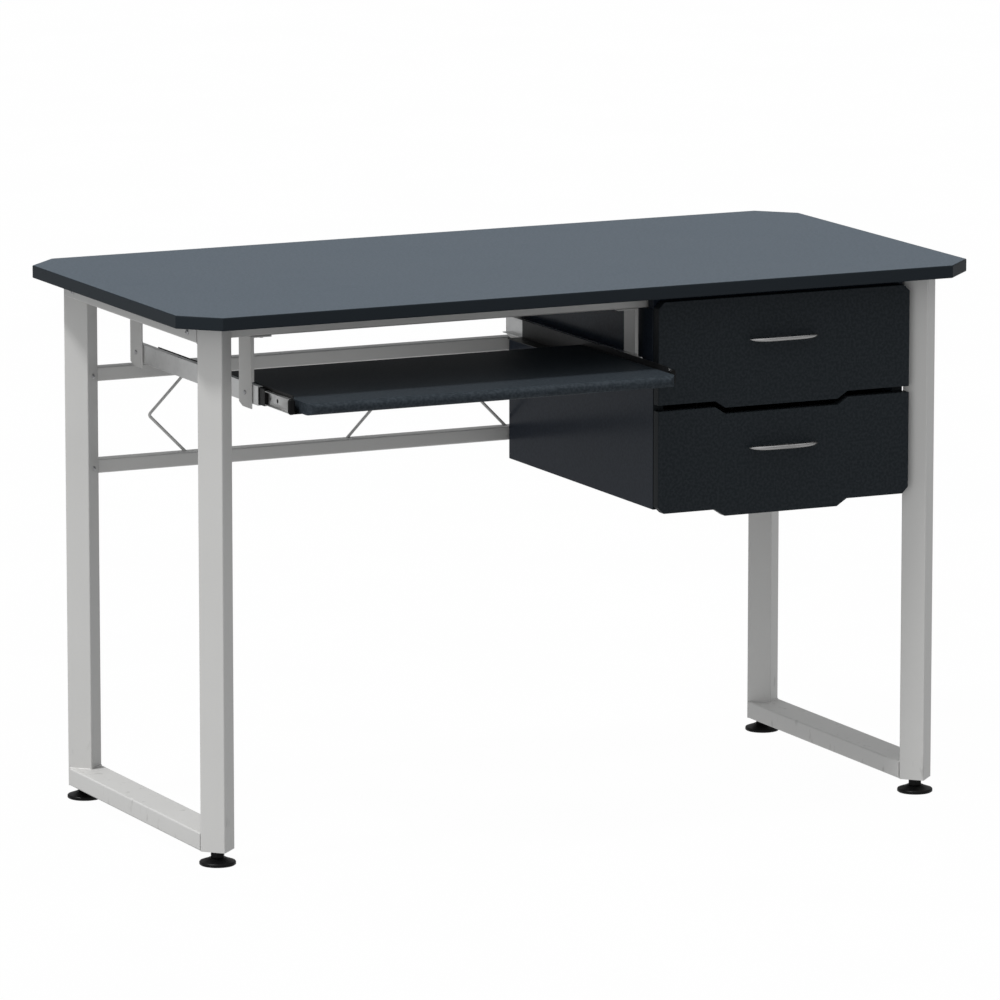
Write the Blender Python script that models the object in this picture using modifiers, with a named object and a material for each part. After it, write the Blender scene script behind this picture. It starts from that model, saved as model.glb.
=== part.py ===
"""Writing desk: a clipped-corner top, a two-drawer cabinet and a keyboard tray on a frame of steel tube.

Units are metres. +X runs along the desk to the user's right, -Y is the user's side and +Z is up.
The origin is on the floor, under the middle of the whole desk with the keyboard tray standing out.
"""
import math

import bmesh
import bpy
from mathutils import Matrix, Vector

for old in list(bpy.data.objects):
    bpy.data.objects.remove(old, do_unlink=True)

# ---------------------------------------------------------------- driving dimensions
TOP_LENGTH = 1.200
TOP_DEPTH = 0.600
TOP_THICKNESS = 0.018
TOP_CLIP = 0.048            # how far each corner of the top is clipped along both edges
TOP_EDGE_EASE = 0.001
DESK_HEIGHT = 0.758
TRAY_OVERHANG = 0.054       # how far the tray stands out past the front edge of the top at rest

TOUCH = 0.0003              # gap kept between pieces that touch

LEG_SIDE = 0.036            # square tube, set on its corner
LEG_CORNER = 0.002
LEG_WALL = 0.0015
LEG_X = 0.536               # leg centres either side of the middle
LEG_Y = 0.2335
LEG_BOTTOM = 0.020
LEG_FLOOR_PLATE = 0.003

RAIL_WIDTH = 0.050          # side rails and top cross rails are one rectangular tube stock
RAIL_HEIGHT = 0.025
RAIL_WALL = 0.0015
RAIL_CORNER = 0.0025
CROSS_RAIL_FACE = 0.209     # outer faces of the two top cross rails from the middle of the desk

STRETCHER_SIDE = 0.020
STRETCHER_LOW = 0.461       # underside of the lower rear stretcher
STRETCHER_HIGH = 0.591      # underside of the upper rear stretcher

ROD = 0.0045                # diameter of the brace rods
ROD_BEND = 0.004            # radius of the bend in the middle of each rod
ROD_TIPS = {                # where each bend points: its place along X, and which way it points
    "outer_left": (-0.4305, -1),
    "inner_left": (-0.0705, 1),
    "inner_right": (0.068, -1),
    "outer_right": (0.429, 1),
}

FOOT_RADIUS = 0.025
FOOT_STEM_RADIUS = 0.004
FOOT_STEM_TOP = 0.045

BOARD = 0.016               # melamine board of the cabinet carcass
CABINET_LEFT = 0.1206
CABINET_RIGHT = 0.5098
CABINET_FRONT = -0.2335     # from the middle of the desk
CABINET_REAR = 0.225
CABINET_BOTTOM = 0.436
CABINET_BACK = 0.005

FRONT_THICKNESS = 0.015     # drawer fronts
FRONT_FACE = -0.250
FRONT_LOW = 0.432           # bottom edge of the lower front beside its tab
FRONT_HEIGHT = 0.1435
FRONT_GAP = 0.0082          # between the two fronts
FRONT_CHAMFER = 0.009
FRONT_RIGHT = 0.5118         # right ends of the fronts, just short of the leg
TAB_MIDDLE = 0.3119         # middle of the tabs and of the handles
TAB_DEPTH = 0.010
TAB_ROOT = 0.103            # half the tab's width where it leaves the edge
TAB_TIP = 0.0875            # half the tab's width at its flat end

BOX_BOARD = 0.012           # drawer box sides and backs
BOX_HEIGHT = 0.085
BOX_LENGTH = 0.420
BOX_FLOOR = 0.003
BOX_LIFT = 0.027            # underside of each box above the bottom edge of its front

RUNNER_LENGTH = 0.400
RUNNER_HEIGHT = 0.035
RUNNER_DEPTH = 0.0125
STEEL = 0.0012

HANDLE_LENGTH = 0.108
HANDLE_REACH = 0.020
HANDLE_HEIGHT = 0.008
HANDLE_STRAP = 0.004
HANDLE_INSET = 0.008        # how far the bar's ends stand in from its feet
HANDLE_ABOVE_CENTRE = 0.012

HANGER_LEFT = -0.472        # outer faces of the tray hangers
HANGER_RIGHT = 0.110
HANGER_WIDTH = 0.041
HANGER_BOTTOM = 0.616
HANGER_SHEET = 0.002
HANGER_FLANGE = 0.031
HANGER_LIP = 0.005
HANGER_LIP_BOTTOM = 0.6525

SLIDE_BOTTOM = 0.623        # ball slides of the keyboard tray
SLIDE_HEIGHT = 0.0265
SLIDE_DEPTH = 0.0078
SLIDE_LENGTH = 0.430
SLIDE_FRONT = -0.2265       # front end of the fixed members
INNER_HEIGHT = 0.0195
INNER_DEPTH = 0.0062
SLIDE_OUT = 0.0965          # how far the tray stands out of its slides at rest

TRAY_THICKNESS = 0.016
TRAY_BOTTOM = 0.6265
TRAY_DEPTH = 0.300
TRAY_CORNER = 0.014
TRAY_STANDS_IN = 0.009      # gap between the left angle and the board, bridged by the angle's flange
TRAY_ANGLE_TOP = 0.6505
TRAY_ANGLE_FLANGE = 0.024
TRAY_ANGLE_LENGTH = 0.458
STOP_LENGTH = 0.006

# ---------------------------------------------------------------- derived places
DESK_Y = TRAY_OVERHANG / 2
TOP_UNDERSIDE = DESK_HEIGHT - TOP_THICKNESS
RAIL_UNDERSIDE = TOP_UNDERSIDE - RAIL_HEIGHT
UNDER_TOP = TOP_UNDERSIDE - TOUCH
UNDER_RAIL = RAIL_UNDERSIDE - TOUCH
TRAY_FRONT = -TOP_DEPTH / 2 - TRAY_OVERHANG
TRAY_TOP = TRAY_BOTTOM + TRAY_THICKNESS
SLIDE_MIDDLE = SLIDE_BOTTOM + SLIDE_HEIGHT / 2


def at_desk(y):
    """Turns a distance from the middle of the desk into a place in the shared frame."""
    return DESK_Y + y


# ---------------------------------------------------------------- collections and finishes
parts = bpy.data.collections.new("writing_desk")
bpy.context.scene.collection.children.link(parts)
cutters = bpy.data.collections.new("cutters")
cutters.hide_render = True
bpy.context.scene.collection.children.link(cutters)


def finish(name, colour, roughness, metallic):
    made = bpy.data.materials.new(name)
    made.use_nodes = True
    shader = made.node_tree.nodes["Principled BSDF"]
    shader.inputs["Base Color"].default_value = (*colour, 1.0)
    shader.inputs["Roughness"].default_value = roughness
    shader.inputs["Metallic"].default_value = metallic
    made.diffuse_color = (*colour, 1.0)
    return made


LAMINATE = finish("graphite_laminate", (0.035, 0.042, 0.052), 0.38, 0.0)
DRAWER_FACE = finish("graphite_front", (0.020, 0.024, 0.028), 0.55, 0.0)
CARCASS = finish("graphite_board", (0.025, 0.028, 0.034), 0.45, 0.0)
SILVER = finish("silver_paint", (0.48, 0.475, 0.46), 0.42, 0.35)
BLACK_STEEL = finish("black_steel", (0.012, 0.013, 0.014), 0.45, 0.3)
BLACK_PLASTIC = finish("black_plastic", (0.010, 0.010, 0.011), 0.42, 0.0)
ZINC = finish("zinc_steel", (0.58, 0.59, 0.61), 0.30, 1.0)
NICKEL = finish("satin_nickel", (0.52, 0.51, 0.49), 0.32, 1.0)
BOX_FACE = finish("drawer_box_board", (0.045, 0.048, 0.052), 0.55, 0.0)
HARDBOARD = finish("hardboard", (0.060, 0.055, 0.050), 0.65, 0.0)


# ---------------------------------------------------------------- shape helpers
def rounded_rect(width, height, radius, steps=3):
    """Corners of a rounded rectangle about (0, 0), counter-clockwise."""
    points = []
    for corner, (side_x, side_y) in enumerate(((1, 1), (-1, 1), (-1, -1), (1, -1))):
        middle = (side_x * (width / 2 - radius), side_y * (height / 2 - radius))
        for step in range(steps + 1):
            angle = math.radians(90) * (corner + step / steps)
            points.append((middle[0] + radius * math.cos(angle), middle[1] + radius * math.sin(angle)))
    return points


def turned(points, angle):
    across = math.cos(angle)
    up = math.sin(angle)
    return [(x * across - y * up, x * up + y * across) for x, y in points]


def moved(points, x, y):
    return [(px + x, py + y) for px, py in points]


def prism(name, outline, axis, start, end, material=None, cutter=False):
    """A solid of one outline pushed along an axis: (x, y) for Z, (x, z) for Y and (y, z) for X."""
    shape = bmesh.new()
    place = {
        "X": lambda u, v: (start, u, v),
        "Y": lambda u, v: (u, start, v),
        "Z": lambda u, v: (u, v, start),
    }[axis]
    travel = {"X": Vector((1, 0, 0)), "Y": Vector((0, 1, 0)), "Z": Vector((0, 0, 1))}[axis] * (end - start)
    base = shape.faces.new([shape.verts.new(place(u, v)) for u, v in outline])
    pushed = bmesh.ops.extrude_face_region(shape, geom=[base])
    far = [item for item in pushed["geom"] if isinstance(item, bmesh.types.BMVert)]
    bmesh.ops.translate(shape, verts=far, vec=travel)
    bmesh.ops.recalc_face_normals(shape, faces=shape.faces)
    return as_object(name, shape, material, cutter)


def block(name, low, high, material=None, cutter=False):
    """A box between two opposite corners."""
    shape = bmesh.new()
    bmesh.ops.create_cube(shape, size=1.0)
    size = Vector(high) - Vector(low)
    middle = (Vector(high) + Vector(low)) / 2
    fit = Matrix.Translation(middle) @ Matrix.Diagonal((*size, 1))
    bmesh.ops.transform(shape, matrix=fit, verts=shape.verts)
    return as_object(name, shape, material, cutter)


def rod(name, base, radius, length, material=None, cutter=False, sides=24):
    """An upright round bar standing on a point."""
    shape = bmesh.new()
    bmesh.ops.create_cone(shape, cap_ends=True, segments=sides, radius1=radius, radius2=radius, depth=length)
    bmesh.ops.translate(shape, verts=shape.verts, vec=Vector(base) + Vector((0, 0, length / 2)))
    return as_object(name, shape, material, cutter)


def as_object(name, shape, material, cutter):
    """Makes the object, with its origin in the middle of its shape."""
    low = Vector([min(vert.co[i] for vert in shape.verts) for i in range(3)])
    high = Vector([max(vert.co[i] for vert in shape.verts) for i in range(3)])
    middle = (low + high) / 2
    bmesh.ops.translate(shape, verts=shape.verts, vec=-middle)
    mesh = bpy.data.meshes.new(name)
    shape.to_mesh(mesh)
    shape.free()
    made = bpy.data.objects.new(name, mesh)
    made.location = middle
    (cutters if cutter else parts).objects.link(made)
    if cutter:
        made.hide_render = True
        made.display_type = "WIRE"
    else:
        mesh.materials.append(material)
    return made


def cut(target, tool):
    step = target.modifiers.new("cut_" + tool.name, "BOOLEAN")
    step.operation = "DIFFERENCE"
    step.solver = "EXACT"
    step.object = tool


def join(target, tool):
    step = target.modifiers.new("join_" + tool.name, "BOOLEAN")
    step.operation = "UNION"
    step.solver = "EXACT"
    step.object = tool


def group(name, place, members):
    """Hangs the members on an empty that stands on their joint axis."""
    holder = bpy.data.objects.new(name, None)
    holder.location = place
    parts.objects.link(holder)
    for member in members:
        member.parent = holder
        member.location = Vector(member.location) - Vector(place)
    return holder


# ---------------------------------------------------------------- table top
half_l = TOP_LENGTH / 2
half_d = TOP_DEPTH / 2
octagon = [
    (-half_l + TOP_CLIP, -half_d),
    (half_l - TOP_CLIP, -half_d),
    (half_l, -half_d + TOP_CLIP),
    (half_l, half_d - TOP_CLIP),
    (half_l - TOP_CLIP, half_d),
    (-half_l + TOP_CLIP, half_d),
    (-half_l, half_d - TOP_CLIP),
    (-half_l, -half_d + TOP_CLIP),
]
tabletop = prism("tabletop", moved(octagon, 0, DESK_Y), "Z", TOP_UNDERSIDE, DESK_HEIGHT, LAMINATE)
ease = tabletop.modifiers.new("eased_edges", "BEVEL")
ease.width = TOP_EDGE_EASE
ease.segments = 1
ease.limit_method = "ANGLE"
ease.angle_limit = math.radians(60)

# ---------------------------------------------------------------- legs and the frame they stand in
LEG_NAMES = {
    "front_left": (-1, -1),
    "front_right": (1, -1),
    "rear_left": (-1, 1),
    "rear_right": (1, 1),
}


def leg_outline(extra, corner):
    """A leg's section, a square on its corner, grown by extra on every face."""
    side = LEG_SIDE + 2 * extra
    return turned(rounded_rect(side, side, corner), math.radians(45))


clearances = {}
for where, (side_x, side_y) in LEG_NAMES.items():
    middle = (side_x * LEG_X, at_desk(side_y * LEG_Y))
    section = moved(leg_outline(0, LEG_CORNER), *middle)
    leg = prism("leg_" + where, section, "Z", LEG_BOTTOM, UNDER_TOP, SILVER)
    bore = prism(
        "bore_" + where,
        moved(leg_outline(-LEG_WALL, LEG_CORNER - LEG_WALL), *middle),
        "Z",
        LEG_BOTTOM + LEG_FLOOR_PLATE,
        UNDER_TOP + LEG_WALL,
        cutter=True,
    )
    stem_hole = rod(
        "stem_hole_" + where,
        (*middle, LEG_BOTTOM - LEG_WALL),
        FOOT_STEM_RADIUS + TOUCH,
        LEG_FLOOR_PLATE + 2 * LEG_WALL,
        cutter=True,
    )
    cut(leg, bore)
    cut(leg, stem_hole)
    clearances[where] = prism(
        "clearance_" + where,
        moved(leg_outline(TOUCH, LEG_CORNER + TOUCH), *middle),
        "Z",
        0.0,
        DESK_HEIGHT,
        cutter=True,
    )


def tube_along(name, axis, start, end, across, low, width, height, corner):
    """A hollow rectangular tube along X or Y, open at both ends."""
    middle = (across, low + height / 2)
    outer = prism(name, moved(rounded_rect(width, height, corner), *middle), axis, start, end, SILVER)
    inner = prism(
        "bore_" + name,
        moved(rounded_rect(width - 2 * RAIL_WALL, height - 2 * RAIL_WALL, corner - RAIL_WALL), *middle),
        axis,
        start - RAIL_WALL,
        end + RAIL_WALL,
        cutter=True,
    )
    cut(outer, inner)
    return outer


# Each side rail is notched to a vee at both ends, so that it fits round the corner of the leg.
NOTCH_START = 0.003
for side, side_x in (("left", -1), ("right", 1)):
    for level, low in (("top", RAIL_UNDERSIDE - TOUCH), ("foot", LEG_BOTTOM)):
        rail = tube_along(
            level + "_rail_" + side,
            "Y",
            at_desk(-LEG_Y + NOTCH_START),
            at_desk(LEG_Y - NOTCH_START),
            side_x * LEG_X,
            low,
            RAIL_WIDTH,
            RAIL_HEIGHT,
            RAIL_CORNER,
        )
        cut(rail, clearances["front_" + side])
        cut(rail, clearances["rear_" + side])

cross_half = LEG_X - RAIL_WIDTH / 2 - TOUCH
cross_middle = CROSS_RAIL_FACE - RAIL_WIDTH / 2
for name, side_y in (("front_rail", -1), ("rear_rail", 1)):
    tube_along(
        name,
        "X",
        -cross_half,
        cross_half,
        at_desk(side_y * cross_middle),
        RAIL_UNDERSIDE - TOUCH,
        RAIL_WIDTH,
        RAIL_HEIGHT,
        RAIL_CORNER,
    )

# The rear stretchers are cut at 45 degrees, so that they lie flat against the legs' faces.
MITRE_START = 0.004
for name, low in (("rear_stretcher_lower", STRETCHER_LOW), ("rear_stretcher_upper", STRETCHER_HIGH)):
    stretcher = tube_along(
        name,
        "X",
        -LEG_X + MITRE_START,
        LEG_X - MITRE_START,
        at_desk(LEG_Y + STRETCHER_SIDE / 2),
        low,
        STRETCHER_SIDE,
        STRETCHER_SIDE,
        RAIL_CORNER,
    )
    cut(stretcher, clearances["rear_left"])
    cut(stretcher, clearances["rear_right"])

# ---------------------------------------------------------------- brace rods
# Each rod is bent to a right angle in the middle. Its ends are welded to the facing sides of the stretchers.
rod_y = at_desk(LEG_Y + STRETCHER_SIDE / 2)
rod_low = STRETCHER_LOW + STRETCHER_SIDE + TOUCH
rod_high = STRETCHER_HIGH - TOUCH
rod_middle = (rod_low + rod_high) / 2
rod_rise = (rod_high - rod_low) / 2 + ROD
BEND_STEPS = 6


def bent_rod(name, tip_x, toward):
    """A round rod with one bend, pointing along +X or -X, cut level at both ends."""
    bend_centre = Vector((tip_x - toward * ROD_BEND * math.sqrt(2), rod_y, rod_middle))
    path = [Vector((tip_x - toward * rod_rise, rod_y, rod_middle + rod_rise))]
    for step in range(BEND_STEPS + 1):
        angle = math.radians(45 - 90 * step / BEND_STEPS)
        path.append(bend_centre + Vector((toward * math.cos(angle), 0, math.sin(angle))) * ROD_BEND)
    path.append(Vector((tip_x - toward * rod_rise, rod_y, rod_middle - rod_rise)))
    curve = bpy.data.curves.new(name, "CURVE")
    curve.dimensions = "3D"
    curve.bevel_depth = ROD / 2
    curve.bevel_resolution = 2
    curve.use_fill_caps = True
    spline = curve.splines.new("POLY")
    spline.points.add(len(path) - 1)
    for point, place in zip(spline.points, path):
        point.co = (*place, 1)
    guide = bpy.data.objects.new(name + "_guide", curve)
    parts.objects.link(guide)
    bpy.context.view_layer.update()
    graph = bpy.context.evaluated_depsgraph_get()
    mesh = bpy.data.meshes.new_from_object(guide.evaluated_get(graph))
    bpy.data.objects.remove(guide)
    shape = bmesh.new()
    shape.from_mesh(mesh)
    bmesh.ops.remove_doubles(shape, verts=shape.verts, dist=0.00001)
    bmesh.ops.recalc_face_normals(shape, faces=shape.faces)
    return as_object(name, shape, SILVER, cutter=False)


trimmed = 2 * ROD
for place, (tip_x, toward) in ROD_TIPS.items():
    brace = bent_rod("brace_rod_" + place, tip_x, toward)
    for end, low, high in (("top", rod_high, rod_high + trimmed), ("bottom", rod_low - trimmed, rod_low)):
        waste = block(
            "waste_%s_%s" % (end, place),
            (tip_x - 2 * rod_rise, rod_y - ROD, low),
            (tip_x + 2 * rod_rise, rod_y + ROD, high),
            cutter=True,
        )
        cut(brace, waste)

# ---------------------------------------------------------------- levelling feet
FOOT_RIM = 0.005
FOOT_DOME = 0.0095
NECK_RADIUS = 0.010
NECK_TOP = LEG_BOTTOM - TOUCH
foot_profile = [
    (0.0, FOOT_STEM_TOP),
    (FOOT_STEM_RADIUS, FOOT_STEM_TOP),
    (FOOT_STEM_RADIUS, FOOT_DOME),
    (0.012, FOOT_DOME),
    (0.020, 0.008),
    (FOOT_RADIUS, FOOT_RIM),
    (FOOT_RADIUS, 0.001),
    (FOOT_RADIUS - 0.001, 0.0),
    (0.0, 0.0),
]
for where, (side_x, side_y) in LEG_NAMES.items():
    mesh = bpy.data.meshes.new("levelling_foot_" + where)
    edges = [(index, index + 1) for index in range(len(foot_profile) - 1)]
    mesh.from_pydata([(radius, 0.0, height) for radius, height in foot_profile], edges, [])
    mesh.materials.append(BLACK_PLASTIC)
    foot = bpy.data.objects.new("levelling_foot_" + where, mesh)
    foot.location = (side_x * LEG_X, at_desk(side_y * LEG_Y), 0.0)
    parts.objects.link(foot)
    turn = foot.modifiers.new("turned", "SCREW")
    turn.axis = "Z"
    turn.steps = 32
    turn.render_steps = 32
    turn.use_merge_vertices = True
    turn.merge_threshold = 0.00001
    neck = rod(
        "neck_" + where,
        (*foot.location[:2], FOOT_RIM),
        NECK_RADIUS,
        NECK_TOP - FOOT_RIM,
        cutter=True,
        sides=6,
    )
    join(foot, neck)

# ---------------------------------------------------------------- drawer cabinet
cabinet_top = UNDER_RAIL
front_y = at_desk(CABINET_FRONT)
rear_y = at_desk(CABINET_REAR)
inner_left = CABINET_LEFT + BOARD
inner_right = CABINET_RIGHT - BOARD
side_low = (front_y, CABINET_BOTTOM)
block("cabinet_side_left", (CABINET_LEFT, *side_low), (inner_left, rear_y, cabinet_top), CARCASS)
block("cabinet_side_right", (inner_right, *side_low), (CABINET_RIGHT, rear_y, cabinet_top), CARCASS)
left = inner_left + TOUCH
right = inner_right - TOUCH
panel_rear = rear_y - CABINET_BACK - TOUCH
block("cabinet_top", (left, front_y, cabinet_top - BOARD), (right, panel_rear, cabinet_top), CARCASS)
block("cabinet_bottom", (left, front_y, CABINET_BOTTOM), (right, panel_rear, CABINET_BOTTOM + BOARD), CARCASS)
block("cabinet_back", (left, rear_y - CABINET_BACK, CABINET_BOTTOM), (right, rear_y, cabinet_top), HARDBOARD)
block(
    "cabinet_top_strip",
    (CABINET_LEFT, front_y, cabinet_top + TOUCH),
    (CABINET_RIGHT, front_y + BOARD, UNDER_TOP),
    CARCASS,
)

# ---------------------------------------------------------------- drawers
centre_x = TAB_MIDDLE
left_end = CABINET_LEFT - centre_x
right_end = FRONT_RIGHT - centre_x


def tab_edge(level):
    """The stepped lower edge that both fronts share, from left to right."""
    return [
        (-TAB_ROOT, level),
        (-TAB_TIP, level - TAB_DEPTH),
        (TAB_TIP, level - TAB_DEPTH),
        (TAB_ROOT, level),
    ]


lower_top = FRONT_LOW + FRONT_HEIGHT
upper_low = lower_top + FRONT_GAP
upper_top = upper_low + FRONT_HEIGHT
lower_outline = [
    (left_end, FRONT_LOW + FRONT_CHAMFER),
    (left_end + FRONT_CHAMFER, FRONT_LOW),
    *tab_edge(FRONT_LOW),
    (right_end - FRONT_CHAMFER, FRONT_LOW),
    (right_end, FRONT_LOW + FRONT_CHAMFER),
    (right_end, lower_top),
    *reversed(tab_edge(lower_top)),
    (left_end, lower_top),
]
upper_outline = [
    (left_end, upper_low),
    *tab_edge(upper_low),
    (right_end, upper_low),
    (right_end, upper_top - FRONT_CHAMFER),
    (right_end - FRONT_CHAMFER, upper_top),
    (left_end + FRONT_CHAMFER, upper_top),
    (left_end, upper_top - FRONT_CHAMFER),
]
face_y = at_desk(FRONT_FACE)
back_of_front = face_y + FRONT_THICKNESS
box_front = back_of_front + TOUCH
box_rear = box_front + BOX_LENGTH
box_left = inner_left + TOUCH + RUNNER_DEPTH + TOUCH
box_right = inner_right - TOUCH - RUNNER_DEPTH - TOUCH
runner_front = front_y + 0.002
MOVING_RUNNER_HEIGHT = RUNNER_HEIGHT - 0.008
RUNNER_LAP = 0.0030         # clear of the other member's web


def channel(web, toward, low, high, depth):
    """A channel section: its web stands at one place and its two flanges point one way."""
    end = web + toward * depth
    back = web + toward * STEEL
    return [
        (web, low),
        (end, low),
        (end, low + STEEL),
        (back, low + STEEL),
        (back, high - STEEL),
        (end, high - STEEL),
        (end, high),
        (web, high),
    ]


def handle_outline(middle_x, foot_y):
    """A bow handle seen from above: two feet on the drawer front and a bar standing forward of it."""
    half = HANDLE_LENGTH / 2
    bar = half - HANDLE_INSET
    outer = foot_y - HANDLE_REACH
    inner = outer + HANDLE_STRAP
    foot = 0.007
    ease = 0.004
    right_half = [
        (bar - ease, outer),
        (bar, outer + ease / 2),
        (half, foot_y),
        (half - foot, foot_y),
        (bar - foot, inner + ease / 2),
        (bar - foot - ease, inner),
    ]
    left_half = [(-x, y) for x, y in reversed(right_half)]
    return moved(right_half + left_half, middle_x, 0)


for level, outline, low, height in (
    ("lower", lower_outline, FRONT_LOW, lower_top - FRONT_LOW),
    ("upper", upper_outline, upper_low, upper_top - upper_low),
):
    prefix = level + "_drawer_"
    floor = low + BOX_LIFT
    top = floor + BOX_HEIGHT
    front = prism(prefix + "front", moved(outline, centre_x, 0), "Y", face_y, back_of_front, DRAWER_FACE)
    side_left = block(
        prefix + "side_left", (box_left, box_front, floor), (box_left + BOX_BOARD, box_rear, top), BOX_FACE
    )
    side_right = block(
        prefix + "side_right", (box_right - BOX_BOARD, box_front, floor), (box_right, box_rear, top), BOX_FACE
    )
    inside_left = box_left + BOX_BOARD + TOUCH
    inside_right = box_right - BOX_BOARD - TOUCH
    back = block(
        prefix + "back", (inside_left, box_rear - BOX_BOARD, floor), (inside_right, box_rear, top), BOX_FACE
    )
    bottom = block(
        prefix + "bottom",
        (box_left, box_front, floor - TOUCH - BOX_FLOOR),
        (box_right, box_rear, floor - TOUCH),
        HARDBOARD,
    )
    handle_z = low + height / 2 + HANDLE_ABOVE_CENTRE
    handle = prism(
        prefix + "handle",
        handle_outline(centre_x, face_y - TOUCH),
        "Z",
        handle_z - HANDLE_HEIGHT / 2,
        handle_z + HANDLE_HEIGHT / 2,
        NICKEL,
    )
    members = [front, side_left, side_right, back, bottom, handle]
    middle = floor + BOX_HEIGHT / 2
    for side, web, toward in (("left", inner_left + TOUCH, 1), ("right", inner_right - TOUCH, -1)):
        fixed = channel(
            web, toward, middle - RUNNER_HEIGHT / 2, middle + RUNNER_HEIGHT / 2, RUNNER_DEPTH - RUNNER_LAP
        )
        prism(prefix + "runner_" + side, fixed, "Y", runner_front, runner_front + RUNNER_LENGTH, ZINC)
        moving = channel(
            web + toward * RUNNER_DEPTH,
            -toward,
            middle - MOVING_RUNNER_HEIGHT / 2,
            middle + MOVING_RUNNER_HEIGHT / 2,
            RUNNER_DEPTH - RUNNER_LAP,
        )
        runner_rear = runner_front + RUNNER_LENGTH
        members.append(prism(prefix + "slider_" + side, moving, "Y", runner_front, runner_rear, ZINC))
    group(level + "_drawer", (centre_x, face_y, middle), members)

# ---------------------------------------------------------------- keyboard tray, its slides and hangers
flange_top = UNDER_RAIL
slide_rear = at_desk(SLIDE_FRONT + SLIDE_LENGTH)
tray_front = at_desk(TRAY_FRONT)
CLIP_WIDTH = 0.012          # the lower corner of each hanger that is clipped off
CLIP_HEIGHT = 0.005
tray_members = []
for side, face, inward in (("left", HANGER_LEFT, 1), ("right", HANGER_RIGHT, -1)):
    inner_face = face + inward * HANGER_SHEET
    for end, outer_y, lip_turn in (
        ("front", at_desk(-CROSS_RAIL_FACE), 1),
        ("rear", at_desk(CROSS_RAIL_FACE), -1),
    ):
        low_y = outer_y if end == "front" else outer_y - HANGER_WIDTH
        high_y = low_y + HANGER_WIDTH
        section = [
            (face, HANGER_BOTTOM),
            (inner_face, HANGER_BOTTOM),
            (inner_face, flange_top - HANGER_SHEET),
            (face + inward * HANGER_FLANGE, flange_top - HANGER_SHEET),
            (face + inward * HANGER_FLANGE, flange_top),
            (face, flange_top),
        ]
        hanger = prism("tray_hanger_%s_%s" % (end, side), section, "Y", low_y, high_y, SILVER)
        clip = prism(
            "clip_%s_%s" % (end, side),
            [
                (high_y - CLIP_WIDTH, HANGER_BOTTOM),
                (high_y, HANGER_BOTTOM + CLIP_HEIGHT),
                (high_y + CLIP_WIDTH, HANGER_BOTTOM + CLIP_HEIGHT),
                (high_y + CLIP_WIDTH, HANGER_BOTTOM - CLIP_HEIGHT),
                (high_y - CLIP_WIDTH, HANGER_BOTTOM - CLIP_HEIGHT),
            ],
            "X",
            face - inward * CLIP_HEIGHT,
            face + inward * CLIP_WIDTH,
            cutter=True,
        )
        cut(hanger, clip)
        lip_start = outer_y
        lip_end = outer_y + lip_turn * HANGER_SHEET
        lip = block(
            "lip_%s_%s" % (end, side),
            (min(face, face + inward * HANGER_LIP), min(lip_start, lip_end), HANGER_LIP_BOTTOM),
            (max(face, face + inward * HANGER_LIP), max(lip_start, lip_end), flange_top - HANGER_SHEET / 2),
            cutter=True,
        )
        join(hanger, lip)
    web = inner_face + inward * TOUCH
    high = SLIDE_BOTTOM + SLIDE_HEIGHT
    outer = channel(web, inward, SLIDE_BOTTOM, high, SLIDE_DEPTH)
    prism("tray_slide_fixed_" + side, outer, "Y", at_desk(SLIDE_FRONT), slide_rear, ZINC)
    inner_web = web + inward * (SLIDE_DEPTH + TOUCH)
    inner_low = SLIDE_MIDDLE - INNER_HEIGHT / 2
    inner = channel(inner_web, -inward, inner_low, inner_low + INNER_HEIGHT, INNER_DEPTH)
    inner_front = at_desk(SLIDE_FRONT - SLIDE_OUT)
    inner_rear = inner_front + SLIDE_LENGTH
    tray_members.append(prism("tray_slide_moving_" + side, inner, "Y", inner_front, inner_rear, ZINC))
    angle_face = inner_web + inward * TOUCH
    angle_low = TRAY_BOTTOM - TOUCH - STEEL
    angle = [
        (angle_face, angle_low),
        (angle_face + inward * TRAY_ANGLE_FLANGE, angle_low),
        (angle_face + inward * TRAY_ANGLE_FLANGE, angle_low + STEEL),
        (angle_face + inward * STEEL, angle_low + STEEL),
        (angle_face + inward * STEEL, TRAY_ANGLE_TOP),
        (angle_face, TRAY_ANGLE_TOP),
    ]
    angle_rear = inner_front + TRAY_ANGLE_LENGTH
    tray_members.append(prism("tray_angle_" + side, angle, "Y", inner_front, angle_rear, BLACK_STEEL))
    stop_low = inner_low - 0.001
    stop_high = inner_low + INNER_HEIGHT + 0.001
    stop_outer = web
    stop_inner = angle_face + inward * STEEL
    stop_middle = ((stop_outer + stop_inner) / 2, (stop_low + stop_high) / 2)
    stop_outline = moved(
        rounded_rect(abs(stop_inner - stop_outer), stop_high - stop_low, 0.003, steps=2), *stop_middle
    )
    stop_rear = inner_front - TOUCH
    tray_members.append(
        prism("tray_end_cap_" + side, stop_outline, "Y", stop_rear - STOP_LENGTH, stop_rear, BLACK_PLASTIC)
    )
    if side == "left":
        tray_left = stop_inner + TRAY_STANDS_IN
    else:
        tray_right = stop_inner - TOUCH

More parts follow.
